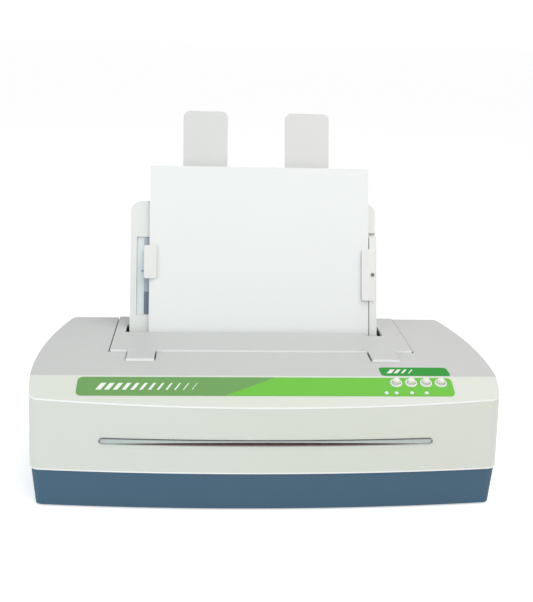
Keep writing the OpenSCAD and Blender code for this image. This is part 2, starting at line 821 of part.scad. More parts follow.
// ramp that the stack stands on, turning each sheet towards the feed rollers
module feed_ramp() {
  hi_z = stack_foot_z - 0.3 + 1.8;
  lo_z = path_z - 2.5;
  color([0.35, 0.36, 0.38]) bench() {
    across(-ramp_x, ramp_x) polygon([
      [feed_y + 12, lo_z - 6], [feed_y + 14, lo_z - 6], [feed_y + 14.5, lo_z - 2],
      [stack_foot_y, stack_foot_z - 2.3], [stack_foot_y + 22, hi_z - 2], [stack_foot_y + 22, hi_z],
      [stack_foot_y, stack_foot_z - 0.3], [feed_y + 12, lo_z]]);
    for (s = [-1, 1])
      block([s * ramp_x - (s > 0 ? frame_t : 0), stack_foot_y - 16, plate_z],
        [s * ramp_x + (s > 0 ? 0 : frame_t), stack_foot_y + 6, stack_foot_z - 2.2]);
  }
}

// chassis and paper drive

// steel deck with the belt post riveted in
module chassis_plate() {
  color([0.62, 0.63, 0.65]) bench() {
    difference() {
      block([-frame_x - 20, 24, deck_z], [frame_x + 20, body_d - 24, plate_z]);
      block([-60, 60, deck_z - 1], [60, 120, plate_z + 1]);
    }
    translate([pulley_x, belt_y, plate_z - 0.5]) cylinder(r = post_r, h = post_top - plate_z + 0.5);
  }
}

module frame_bores(bearing_r) {
  for (y = [feed_y, exit_y])
    rod_x(bearing_r, -frame_x - 20, frame_x + 20, y, roll_z);
  rod_x(pinch_shaft_r + run_gap, -frame_x - 20, frame_x + 20, feed_y, pinch_z);
  rod_x(pinch_shaft_r + run_gap, -frame_x - 20, frame_x + 20, exit_y, exit_pinch_z);
  for (y = [rail_a, rail_b], z = [rail_lo, rail_hi])
    rod_x(rail_r + run_gap, -frame_x - 20, frame_x + 20, y, z);
}

bush_r = shaft_r + 2;
frame_y0 = exit_y - 14;
frame_y1 = feed_y + 50;

// upright with a foot flange that carries the rails and the shafts
module side_frame(s) {
  difference() {
    union() {
      block([s > 0 ? frame_x : -frame_x - frame_t, frame_y0, plate_z],
        [s > 0 ? frame_x + frame_t : -frame_x, frame_y1, frame_top]);
      block([s > 0 ? frame_x : -frame_x - 16, frame_y0, plate_z],
        [s > 0 ? frame_x + 16 : -frame_x, frame_y1, plate_z + frame_t]);
    }
    frame_bores(bush_r);
    rod_x(6, s > 0 ? frame_x - 10 : -frame_x - 20, s > 0 ? frame_x + 20 : -frame_x + 10, pinion_y, roll_z);
  }
}

module side_frame_left() {
  color([0.64, 0.65, 0.67]) bench() side_frame(-1);
}

// right frame, with the stub axle of the idler gear
module side_frame_right() {
  color([0.64, 0.65, 0.67]) bench() {
    side_frame(1);
    rod_x(axle_r, frame_x + 0.5, gear_x + gear_w + 2, idler_y, roll_z);
  }
}

// pan head screws through the foot flanges
module frame_screws() {
  color([0.7, 0.71, 0.72]) bench() for (s = [-1, 1], y = [frame_y0 + 12, line_y, frame_y1 - 12])
    translate([s * (frame_x + 9), y, plate_z + frame_t]) screw_head(3.2, 2);
}

// flanged bearings of the two driven shafts
module bushings() {
  color([0.72, 0.55, 0.3]) bench() for (s = [-1, 1], y = [feed_y, exit_y])
    difference() {
      union() {
        rod_x(bush_r, s > 0 ? frame_x : -frame_x - frame_t, s > 0 ? frame_x + frame_t : -frame_x, y, roll_z);
        rod_x(bush_r + 2, s > 0 ? frame_x + frame_t : -frame_x - frame_t - 1.4,
          s > 0 ? frame_x + frame_t + 1.4 : -frame_x - frame_t, y, roll_z);
      }
      rod_x(shaft_r + run_gap, -frame_x - 20, frame_x + 20, y, roll_z);
    }
}

roller_xs = [-105, -35, 35, 105];

module tyres(y, len) {
  for (x = roller_xs)
    difference() {
      rod_x(roller_r, x - len / 2, x + len / 2, y, roll_z);
      rod_x(shaft_r, x - len, x + len, y, roll_z);
    }
}

module feed_shaft() {
  color([0.74, 0.75, 0.76]) bench() rod_x(shaft_r, -frame_x - 6, gear_x + gear_w + 2, feed_y, roll_z);
}

module feed_rollers() {
  color([0.17, 0.17, 0.18]) bench() tyres(feed_y, 26);
}

module feed_gear() {
  color([0.88, 0.86, 0.8]) bench() translate([0, feed_y, roll_z]) gear(feed_n, 0, shaft_r);
}

// free shaft with tyres over the feed rollers
module pinch_shaft() {
  color([0.3, 0.31, 0.33]) bench() {
    rod_x(pinch_shaft_r, -frame_x - 4, frame_x + 4, feed_y, pinch_z);
    for (x = roller_xs)
      rod_x(pinch_r, x - 11, x + 11, feed_y, pinch_z);
  }
}

module exit_shaft() {
  color([0.74, 0.75, 0.76]) bench() rod_x(shaft_r, -frame_x - 6, gear_x + gear_w + 2, exit_y, roll_z);
}

module exit_rollers() {
  color([0.17, 0.17, 0.18]) bench() tyres(exit_y, 16);
}

module exit_gear() {
  color([0.88, 0.86, 0.8]) bench() translate([0, exit_y, roll_z]) gear(feed_n, 0, shaft_r);
}

// free shaft with narrow rollers over the exit rollers
module exit_pinch_shaft() {
  color([0.3, 0.31, 0.33]) bench() {
    rod_x(pinch_shaft_r, -frame_x - 4, frame_x + 4, exit_y, exit_pinch_z);
    for (x = roller_xs)
      rod_x(exit_pinch_r, x - 6, x + 6, exit_y, exit_pinch_z);
  }
}

module idler_gear() {
  color([0.88, 0.86, 0.8]) bench() translate([0, idler_y, roll_z]) gear(idler_n, 1, axle_r + run_gap);
}

motor_w = 42;
bell = motor_w / 2 - 0.6;
motor_l = 38;

// pinion on the feed motor's own shaft
module motor_pinion() {
  color([0.78, 0.66, 0.4]) bench() translate([0, pinion_y, roll_z]) {
    gear(pinion_n, 1, motor_shaft_r - 0.5);
    rod_x(motor_shaft_r, frame_x - 9, gear_x + gear_w + 1, 0, 0);
  }
}

// stepper motor body with its end bells, its axis along +z from the mounting face
module stepper(l) {
  difference() {
    union() {
      translate([0, 0, -l + 8]) linear_extrude(l - 16)
        polygon(round_rect(-motor_w / 2, -motor_w / 2, motor_w / 2, motor_w / 2, 7, 7));
      for (z = [-l, -8])
        translate([0, 0, z]) linear_extrude(8) polygon(round_rect(-bell, -bell, bell, bell, 4, 4));
    }
    translate([0, 0, -10]) cylinder(r = motor_shaft_r + run_gap, h = 20);
  }
}

module feed_motor() {
  color([0.2, 0.2, 0.21]) bench() translate([frame_x, pinion_y, roll_z]) rotate([0, 90, 0]) stepper(motor_l);
}

// embossing carriages

// two rails under the sheet and two over it
module guide_rails() {
  color([0.8, 0.81, 0.82]) bench() for (y = [rail_a, rail_b], z = [rail_lo, rail_hi])
    rod_x(rail_r, -frame_x - frame_t - 1, frame_x + frame_t + 1, y, z);
}

module rail_bores() {
  for (y = [rail_a, rail_b], z = [rail_lo, rail_hi])
    rod_x(rail_r + run_gap, -60, 60, y, z);
}

cell_dx = 6;
dot_d = 2.5;

// punch carriage under the sheet, with the solenoid block and its pins
module hammer_carriage() {
  color([0.24, 0.25, 0.27]) bench() {
    difference() {
      union() {
        block([-car_w / 2, rail_a - 10, rail_lo - 9], [car_w / 2, rail_b + 10, rail_lo + 9]);
        block([-car_w / 2 + 3, line_y - 9, rail_lo + 8], [car_w / 2 - 3, line_y + 9, path_z - 7]);
        block([-12, rail_b + 9, belt_lo - 5], [12, belt_y - pulley_r - 1.3, belt_lo + 5]);
        block([-12, rail_b + 2, rail_lo + 8], [12, rail_b + 10, belt_lo + 5]);
      }
      rail_bores();
    }
    for (i = [-2:2], j = [-1, 1], k = [-1:1])
      translate([i * cell_dx + j * dot_d / 2, line_y + k * dot_d, path_z - 7.5]) cylinder(r = 0.7, h = 5.5);
  }
}

// anvil carriage over the sheet
module anvil_carriage() {
  color([0.5, 0.51, 0.54]) bench() difference() {
    union() {
      block([-car_w / 2, rail_a - 10, rail_hi - 9], [car_w / 2, rail_b + 10, rail_hi + 9]);
      block([-car_w / 2 + 5, line_y - 8, path_z + 3], [car_w / 2 - 5, line_y + 8, rail_hi - 8]);
      block([-12, rail_b + 9, belt_hi - 5], [12, belt_y - pulley_r - 1.3, belt_hi + 5]);
    }
    rail_bores();
  }
}

module pulley(z) {
  translate([0, 0, z - belt_w / 2 - 0.5]) cylinder(r = pulley_r, h = belt_w + 1);
  for (s = [-1, 1])
    translate([0, 0, z + s * (belt_w / 2 + 1) - 0.6]) cylinder(r = pulley_r + 2, h = 1.2);
}

// upright motor shaft with the two driving pulleys
module carriage_drive() {
  color([0.75, 0.76, 0.77]) bench() translate([-pulley_x, belt_y, 0]) {
    translate([0, 0, plate_z + 20]) cylinder(r = motor_shaft_r, h = post_top - plate_z - 20);
    pulley(belt_lo);
    pulley(belt_hi);
  }
}

// two pulleys that turn freely on the belt post
module idler_pulleys() {
  color([0.75, 0.76, 0.77]) bench() translate([pulley_x, belt_y, 0]) difference() {
    union() {
      pulley(belt_lo);
      pulley(belt_hi);
    }
    translate([0, 0, plate_z]) cylinder(r = post_r + run_gap, h = 2 * top_z);
  }
}

module belt_loop(r) {
  polygon(concat(
    arc([pulley_x, belt_y], r, -90, 90, 24, 0),
    arc([-pulley_x, belt_y], r, 90, 270, 24, 0)));
}

// toothed belts round the pulleys
module drive_belts() {
  color([0.08, 0.08, 0.08]) bench() for (z = [belt_lo, belt_hi])
    translate([0, 0, z - belt_w / 2]) linear_extrude(belt_w) difference() {
      belt_loop(pulley_r + 1.2);
      belt_loop(pulley_r + 0.1);
    }
}

module carriage_motor() {
  color([0.2, 0.2, 0.21]) bench() translate([-pulley_x, belt_y, plate_z + 28]) stepper(28);
}

// electrics

psu_size = [132, 52, 40];
psu_at = [-142, body_d - 26 - psu_size[1], plate_z];
psu_vent_r = 3;
psu_vent_pitch = [11.5, 12];

// enclosed power supply with a vented lid
module power_supply() {
  color([0.75, 0.76, 0.77]) bench() translate(psu_at) difference() {
    cube(psu_size);
    for (i = [0:9], j = [0:3])
      translate([14 + i * psu_vent_pitch[0], 8 + j * psu_vent_pitch[1], psu_size[2] - 1.5])
        cylinder(r = psu_vent_r, h = 5);
  }
}

board_size = [142, 44, 1.6];
board_at = [-4, body_d - 22 - board_size[1], board_z];
standoff_in = 6;

// control board on standoffs, with its processor, connector and capacitors
module main_board() {
  color([0.1, 0.36, 0.2]) bench() translate(board_at) {
    cube(board_size);
    for (x = [standoff_in, board_size[0] - standoff_in], y = [standoff_in, board_size[1] - standoff_in])
      translate([x, y, plate_z - board_z]) cylinder(r = 3, h = board_z - plate_z + 0.5);
    translate([14, 8, 1]) cube([20, 20, 3]);
    translate([84, 6, 1]) cube([36, 10, 11]);
    for (i = [0:2])
      translate([42 + i * 14, 12, 1]) cylinder(r = 5, h = 13);
  }
}

socket_z = board_z + board_size[2] + skin_gap;

// data sockets at the rear
module io_ports() {
  color([0.7, 0.71, 0.72]) bench() {
    difference() {
      block([usb_x - 6, body_d - 17, port_z - 5.5], [usb_x + 6, rear_y + 0.2, port_z + 5.5]);
      block([usb_x - 4.8, body_d - 8, port_z - 4.2], [usb_x + 4.8, rear_y + 5, port_z + 4.2]);
    }
    block([usb_x - 3, body_d - 9, port_z - 1.6], [usb_x + 3, rear_y - 1.5, port_z + 1.6]);
    block([usb_x - 6, body_d - 23, socket_z], [usb_x + 6, body_d - 16, board_z + 10]);
    difference() {
      block([port_x - 26.5, body_d - 17, port_z - 6.2], [port_x + 26.5, rear_y + 0.2, port_z + 6.2]);
      block([port_x - 19.5, body_d - 6, port_z - 4.2], [port_x + 19.5, rear_y + 5, port_z + 4.2]);
    }
    block([port_x - 17, body_d - 7, port_z - 2.6], [port_x + 17, rear_y - 1, port_z + 2.6]);
    block([port_x - 26, body_d - 23, socket_z], [port_x + 26, body_d - 16, board_z + 12]);
  }
}

inlet_rim = 3.4;
pin_in = 1.4;
trunnion_r = 1.3;
rocker_y = body_d - 4;

// three-pin appliance inlet and the frame of the mains switch
module power_inlet() {
  color([0.1, 0.1, 0.11]) bench() {
    difference() {
      union() {
        block([inlet_x - 13.5, body_d - 24, power_z - 9.8], [inlet_x + 13.5, rear_y, power_z + 9.8]);
        block([inlet_x - 16, rear_y + 0.3, power_z - 12], [inlet_x + 16, rear_y + inlet_rim, power_z + 12]);
        block([inlet_x - 13.5, rear_y - 1, power_z - 9.8], [inlet_x + 13.5, rear_y + 1, power_z + 9.8]);
      }
      block([inlet_x - 11.5, body_d - 17, power_z - 7.8], [inlet_x + 11.5, rear_y + 9, power_z + 7.8]);
    }
    for (p = [[-7, -2], [0, 2], [7, -2]])
      block([inlet_x + p[0] - 1, body_d - 18, power_z + p[1] - 2],
        [inlet_x + p[0] + 1, rear_y - pin_in, power_z + p[1] + 2]);
    difference() {
      union() {
        block([switch_x - 6.4, body_d - 18, power_z - 9.5], [switch_x + 6.4, rear_y + 1, power_z + 9.5]);
        block([switch_x - 7.6, rear_y + 0.3, power_z - 11], [switch_x + 7.6, rear_y + 1.6, power_z + 11]);
      }
      block([switch_x - 5.1, body_d - 11, power_z - 8.2], [switch_x + 5.1, rear_y + 5, power_z + 8.2]);
      rod_x(trunnion_r + run_gap, switch_x - 9, switch_x + 9, rocker_y, power_z);
    }
  }
}

// mains rocker on its two trunnions, shown tipped to its off side
module switch_rocker() {
  color([0.13, 0.13, 0.14]) bench() translate([0, rocker_y, power_z]) rotate([-8, 0, 0]) {
    across(switch_x - 4.7, switch_x + 4.7)
      polygon([[-3, -3], [3.2, -6.9], [6.2, -6.7], [5.2, 0], [6.2, 6.7], [3.2, 6.9], [-3, 3]]);
    rod_x(trunnion_r, switch_x - 6.2, switch_x + 6.2, 0, 0);
  }
}

base_pan();
rubber_feet();
main_housing();
top_cover();
lid();
hinge_brackets();
hinge_pins();
control_overlay();
button_rings();
push_button_1();
push_button_2();
push_button_3();
push_button_4();
led_lenses();
button_board();
slot_bezel();
paper_guides();
feeder_tray();
guide_track();
guide_slider();
edge_guide_left();
edge_guide_right();
paper_support_left();
paper_support_right();
paper_stack();
feeder_screws();
pick_bracket();
pick_shaft();
pick_rollers();
pick_motor();
feed_ramp();
chassis_plate();
side_frame_left();
side_frame_right();
frame_screws();
bushings();
feed_shaft();
feed_rollers();
feed_gear();
pinch_shaft();
exit_shaft();
exit_rollers();
exit_gear();
exit_pinch_shaft();
idler_gear();
motor_pinion();
feed_motor();
guide_rails();
hammer_carriage();
anvil_carriage();
carriage_drive();
idler_pulleys();
drive_belts();
carriage_motor();
power_supply();
main_board();
io_ports();
power_inlet();
switch_rocker();
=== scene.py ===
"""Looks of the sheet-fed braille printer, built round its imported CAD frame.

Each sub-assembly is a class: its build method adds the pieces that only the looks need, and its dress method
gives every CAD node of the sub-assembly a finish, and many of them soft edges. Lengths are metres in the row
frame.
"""

import logging
import math
from abc import ABC, abstractmethod
from dataclasses import dataclass, replace
from enum import Enum
from typing import Callable, Iterable, Sequence

import bmesh
import bpy
from mathutils import Matrix, Vector


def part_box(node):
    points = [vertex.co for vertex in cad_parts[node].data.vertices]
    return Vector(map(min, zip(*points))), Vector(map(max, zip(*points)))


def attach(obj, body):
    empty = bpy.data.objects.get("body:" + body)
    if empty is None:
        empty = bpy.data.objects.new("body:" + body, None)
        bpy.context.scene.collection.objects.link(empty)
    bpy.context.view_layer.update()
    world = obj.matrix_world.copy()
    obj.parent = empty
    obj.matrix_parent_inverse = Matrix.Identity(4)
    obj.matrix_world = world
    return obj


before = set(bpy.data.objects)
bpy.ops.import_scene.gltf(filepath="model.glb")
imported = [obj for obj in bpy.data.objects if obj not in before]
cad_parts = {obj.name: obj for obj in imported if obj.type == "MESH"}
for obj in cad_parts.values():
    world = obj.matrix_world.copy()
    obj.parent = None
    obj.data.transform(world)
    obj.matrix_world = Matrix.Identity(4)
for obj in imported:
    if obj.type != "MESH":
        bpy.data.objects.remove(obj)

LOG = logging.getLogger("braille_printer")
MM = 0.001
# Lean of the feeder's tray and slope of the control band.
LEAN = math.radians(18.0)
BAND_SLOPE = math.radians(21.5)
RIGHT = Vector((1.0, 0.0, 0.0))
FRONT = Vector((0.0, -1.0, 0.0))
UPWARDS = (0.0, 0.0, 1.0)
# Heights between which the slide of the left guide is pale.
SLIDE_PALE = (189.0 * MM, 400.0 * MM)
# Values of the normal's Y between which front faces take a painted highlight, and the faces inside the gap
# take painted shade.
FRONT_FACES = (-0.35, -0.7)
GAP_FACES = (-0.8, -0.6)
# Greatest share of the stack's direction in the normal of a cut edge.
CUT_FACES = 0.5
# Handled spots: how much finer they are than the colour change, and the noise values that bound them.
SPOT_FINENESS = 4.0
SPOT_RANGE = (0.35, 0.65)
BUMP_DEPTH = 0.2 * MM
WELD_REACH = 0.001 * MM
# Weight that leaves shading to the large faces.
FULL_WEIGHT = 100
# Sockets of a colour mix node.
MIX_FACTOR, MIX_A, MIX_B, MIX_RESULT = 0, 6, 7, 2


class Body(str, Enum):
    """CAD bodies that looks-only pieces ride on."""

    MACHINE = "printer_body"
    BUTTON_1 = "button_1"
    BUTTON_2 = "button_2"
    BUTTON_3 = "button_3"
    BUTTON_4 = "button_4"


class Grain(Enum):
    """Fine surface structure of a finish as (noise scale, bump strength)."""

    NONE = (0.0, 0.0)
    MOULDED = (900.0, 0.06)
    SATIN = (1600.0, 0.03)
    FIBRE = (420.0, 0.08)


@dataclass(frozen=True)
class Plies:
    """Fine layers that show on the cut edges of a stack.

    Attributes:
        normal: Direction across the layers.
        pitch: Thickness of one visible layer.
        shade: Darkening of the lines between layers.
    """

    normal: tuple[float, float, float]
    pitch: float
    shade: float


@dataclass(frozen=True)
class EdgeLine:
    """Zone of another colour across a surface, such as a painted highlight line along a rounded edge.

    Attributes:
        normal: Direction across the zone.
        start: Place along that direction where it begins.
        end: Place where it ends.
        color: Its linear colour.
        soft: Reach over which it fades.
    """

    normal: tuple[float, float, float]
    start: float
    end: float
    color: tuple[float, float, float]
    soft: float = 0.3 * MM


@dataclass(frozen=True)
class Finish:
    """One surface finish.

    Attributes:
        name: Material name.
        color: Linear base colour.
        roughness: Microfacet roughness.
        metallic: 1.0 for bare metal.
        specular: Dielectric specular level.
        grain: Fine structure of the surface.
        mottle: Strength of the slow colour variation.
        spread: Noise scale of that variation.
        handled: Change of the roughness between clean and handled spots.
        coat: Weight of a clear coat.
        backdrop: Emission that only shows as background and lights nothing.
        front_highlight: Linear colour of a painted highlight on narrow faces that look to the front.
        plies: Layers on its cut edges.
        lines: Painted highlight lines along its edges, and zones of another colour.
    """

    name: str
    color: tuple[float, float, float]
    roughness: float = 0.5
    metallic: float = 0.0
    specular: float = 0.4
    grain: Grain = Grain.NONE
    mottle: float = 0.02
    spread: float = 7.0
    handled: float = 0.04
    coat: float = 0.0
    backdrop: float = 0.0
    front_highlight: tuple[float, float, float] | None = None
    plies: Plies | None = None
    lines: tuple[EdgeLine, ...] = ()


class Palette:
    """Finishes of the printer."""

    CREAM = Finish("housing_cream", (0.72, 0.745, 0.68), 0.34, specular=0.5, grain=Grain.MOULDED, mottle=0.03)
    # The top's faces that look to the front carry a near-white painted highlight.
    TOP = Finish("top_grey", (0.59, 0.597, 0.59), 0.42, grain=Grain.MOULDED, mottle=0.02,
                 front_highlight=(0.97, 0.975, 0.965))
    BLUE = Finish("base_blue", (0.074, 0.142, 0.210), 0.5, specular=0.15, grain=Grain.MOULDED, mottle=0.04)
    RUBBER = Finish("black_rubber", (0.018, 0.018, 0.018), 0.8, grain=Grain.FIBRE)
    DARK = Finish("dark_plastic", (0.035, 0.036, 0.04), 0.5, grain=Grain.MOULDED)
    STEEL = Finish("ground_steel", (0.62, 0.63, 0.64), 0.3, metallic=1.0, grain=Grain.SATIN, mottle=0.05)
    SCREW = Finish("screw_bronze", (0.30, 0.25, 0.22), 0.55, specular=0.3, grain=Grain.SATIN,
                   mottle=0.1, spread=90.0)
    SHEET_STEEL = Finish("zinc_sheet", (0.5, 0.51, 0.52), 0.42, metallic=1.0,
                         mottle=0.12, spread=60.0, handled=0.1)
    WHITE = Finish("tray_white", (0.815, 0.825, 0.805), 0.4, grain=Grain.SATIN)
    SUPPORT = Finish("support_white", (0.705, 0.705, 0.698), 0.42, grain=Grain.SATIN)
    GUIDE = Finish("guide_white", (0.835, 0.83, 0.815), 0.38, grain=Grain.SATIN)
    TRACK = Finish("track_pale", (0.76, 0.81, 0.83), 0.35, grain=Grain.SATIN)
    SLIDE = Finish("slide_dark", (0.15, 0.195, 0.255), 0.4, grain=Grain.SATIN,
                   lines=(EdgeLine(UPWARDS, *SLIDE_PALE, (0.40, 0.455, 0.51), 1.0 * MM),))
    BUTTON = Finish("button_cream", (0.83, 0.82, 0.775), 0.35, grain=Grain.SATIN, mottle=0.05, spread=160.0)
    RING = Finish("ring_white", (0.86, 0.865, 0.84), 0.35, grain=Grain.SATIN, spread=160.0)
    LENS = Finish("lens_clear", (0.80, 0.84, 0.78), 0.15, mottle=0.06, spread=300.0, coat=0.6)
    BOARD = Finish("circuit_board", (0.02, 0.13, 0.05), 0.35, mottle=0.4, spread=220.0, coat=0.4)
    MOTOR = Finish("motor_black", (0.02, 0.02, 0.022), 0.4, specular=0.5, grain=Grain.MOULDED, mottle=0.1)
    ACETAL = Finish("acetal_ivory", (0.76, 0.72, 0.62), 0.35, grain=Grain.SATIN, mottle=0.05, spread=90.0)
    BRASS = Finish("brass", (0.60, 0.42, 0.16), 0.3, metallic=1.0, mottle=0.15, spread=90.0, handled=0.1)
    BRONZE = Finish("bronze", (0.45, 0.27, 0.11), 0.4, metallic=1.0, mottle=0.2, spread=90.0, handled=0.1)
    ALUMINIUM = Finish("aluminium", (0.62, 0.63, 0.64), 0.35, metallic=1.0, grain=Grain.SATIN)
    BELT = Finish("belt_black", (0.01, 0.01, 0.01), 0.7, grain=Grain.FIBRE)
    PAPER = Finish("braille_paper", (0.87, 0.885, 0.88), 0.85, specular=0.2, grain=Grain.FIBRE,
                   plies=Plies((0.0, math.cos(LEAN), -math.sin(LEAN)), 0.5 * MM, 0.3))
    BADGE = Finish("badge_green", (0.034, 0.318, 0.046), 0.6, specular=0.08, grain=Grain.SATIN, mottle=0.04)
    MOTIF = Finish("motif_white", (0.86, 0.88, 0.84), 0.45, grain=Grain.SATIN)
    FLOOR = Finish("floor_pale", (0.93, 0.93, 0.93), 0.9, specular=0.1,
                   mottle=0.0, handled=0.0, backdrop=0.5)


def background_rays(tree: bpy.types.NodeTree) -> bpy.types.NodeSocket:
    """Return 1 on the rays that show the background, and 0 on those that light the printer.

    Args:
        tree: Node tree of the floor or the world.

    Returns:
        The socket.
    """
    rays = tree.nodes.new("ShaderNodeLightPath")
    seen = rays.outputs["Is Camera Ray"]
    for name in ("Is Glossy Ray", "Is Transmission Ray"):
        either = tree.nodes.new("ShaderNodeMath")
        either.operation = "MAXIMUM"
        tree.links.new(seen, either.inputs[0])
        tree.links.new(rays.outputs[name], either.inputs[1])
        seen = either.outputs[0]
    return seen


class Graph:
    """Adds linked nodes to a material's shader."""

    def __init__(self, material: bpy.types.Material) -> None:
        """Start on a material that has its default shader.

        Args:
            material: The material.
        """
        self.tree = material.node_tree
        self.shader = self.tree.nodes["Principled BSDF"]
        self.coords = self.tree.nodes.new("ShaderNodeTexCoord")

    def axis(self, output: str, name: str) -> bpy.types.NodeSocket:
        """Return one axis of a texture coordinate.

        Args:
            output: Coordinate, "Object" or "Normal".
            name: "X", "Y" or "Z".

        Returns:
            The socket.
        """
        axes = self.tree.nodes.new("ShaderNodeSeparateXYZ")
        self.tree.links.new(self.coords.outputs[output], axes.inputs[0])
        return axes.outputs[name]

    def along(self, output: str, direction: Sequence[float]) -> bpy.types.NodeSocket:
        """Return a texture coordinate measured along a direction.

        Args:
            output: Coordinate, "Object" or "Normal".
            direction: Unit vector.

        Returns:
            The socket.
        """
        dot = self.tree.nodes.new("ShaderNodeVectorMath")
        dot.operation = "DOT_PRODUCT"
        dot.inputs[1].default_value = direction
        self.tree.links.new(self.coords.outputs[output], dot.inputs[0])
        return dot.outputs["Value"]

    def math(self, operation: str, *terms: bpy.types.NodeSocket | float) -> bpy.types.NodeSocket:
        """Return the result of a maths node.

        Args:
            operation: Blender's name of the operation.
            terms: Sockets or numbers.

        Returns:
            The socket.
        """
        step = self.tree.nodes.new("ShaderNodeMath")
        step.operation = operation
        for slot, term in zip(step.inputs, terms):
            if isinstance(term, bpy.types.NodeSocket):
                self.tree.links.new(term, slot)
            else:
                slot.default_value = term
        return step.outputs[0]

    def ramp(self, value: bpy.types.NodeSocket, low: float, high: float) -> bpy.types.NodeSocket:
        """Return a value mapped to 0 at low and 1 at high, clamped.

        Args:
            value: Socket to map.
            low: Value that gives 0.
            high: Value that gives 1.

        Returns:
            The socket.
        """
        step = self.tree.nodes.new("ShaderNodeMapRange")
        step.inputs["From Min"].default_value = low
        step.inputs["From Max"].default_value = high
        self.tree.links.new(value, step.inputs["Value"])
        return step.outputs[0]

    def noise(self, scale: float) -> bpy.types.NodeSocket:
        """Return noise on the object's own coordinates.

        Args:
            scale: Noise scale.

        Returns:
            The socket.
        """
        step = self.tree.nodes.new("ShaderNodeTexNoise")
        step.inputs["Scale"].default_value = scale
        self.tree.links.new(self.coords.outputs["Object"], step.inputs["Vector"])
        return step.outputs["Fac"]

    def tint(self, mask: bpy.types.NodeSocket, color: Sequence[float]) -> None:
        """Blend the base colour towards another where a mask is 1.

        Args:
            mask: Mask socket.
            color: Linear colour.
        """
        base = self.shader.inputs["Base Color"]
        mix = self.tree.nodes.new("ShaderNodeMix")
        mix.data_type = "RGBA"
        mix.inputs[MIX_A].default_value = base.default_value
        mix.inputs[MIX_B].default_value = (*color, 1.0)
        if base.is_linked:
            self.tree.links.new(base.links[0].from_socket, mix.inputs[MIX_A])
        self.tree.links.new(mask, mix.inputs[MIX_FACTOR])
        self.tree.links.new(mix.outputs[MIX_RESULT], base)

    def feed(self, name: str, value: bpy.types.NodeSocket) -> None:
        """Drive one of the shader's inputs.

        Args:
            name: Name of the input.
            value: Socket that feeds it.
        """
        self.tree.links.new(value, self.shader.inputs[name])

    def bump(self, height: bpy.types.NodeSocket, strength: float) -> None:
        """Roughen the surface.

        Args:
            height: Height socket.
            strength: Bump strength.
        """
        step = self.tree.nodes.new("ShaderNodeBump")
        step.inputs["Strength"].default_value = strength
        step.inputs["Distance"].default_value = BUMP_DEPTH
        self.tree.links.new(height, step.inputs["Height"])
        self.tree.links.new(step.outputs["Normal"], self.shader.inputs["Normal"])


@dataclass(frozen=True)
class SlotDesign:
    """Colours of the exit slot's mouthpiece.

    Attributes:
        face: Bright front face.
        gap: Painted shade on the faces inside the gap, in the brown of the dark interior.
        outline: Painted shade line along its upper edge and its ends.
        reach: Width of that line.
        full: Width of its darkest part.
    """

    face: tuple[float, float, float] = (0.52, 0.60, 0.59)
    gap: tuple[float, float, float] = (0.44, 0.32, 0.29)
    outline: tuple[float, float, float] = (0.07, 0.06, 0.06)
    reach: float = 1.2 * MM
    full: float = 0.72 * MM


@dataclass(frozen=True)
class OverlayDesign:
    """Printed design of the overlay strip.

    Attributes:
        left: Muted green of the left part.
        right: Bright green of the right part.
        split: Place of the split across the machine.
        slant: Shift of the split per metre of depth.
        soft: Half width of the change between the greens.
    """

    left: tuple[float, float, float] = (0.157, 0.35, 0.107)
    right: tuple[float, float, float] = (0.157, 0.527, 0.055)
    split: float = 0.23
    slant: float = -2.0
    soft: float = 0.6 * MM


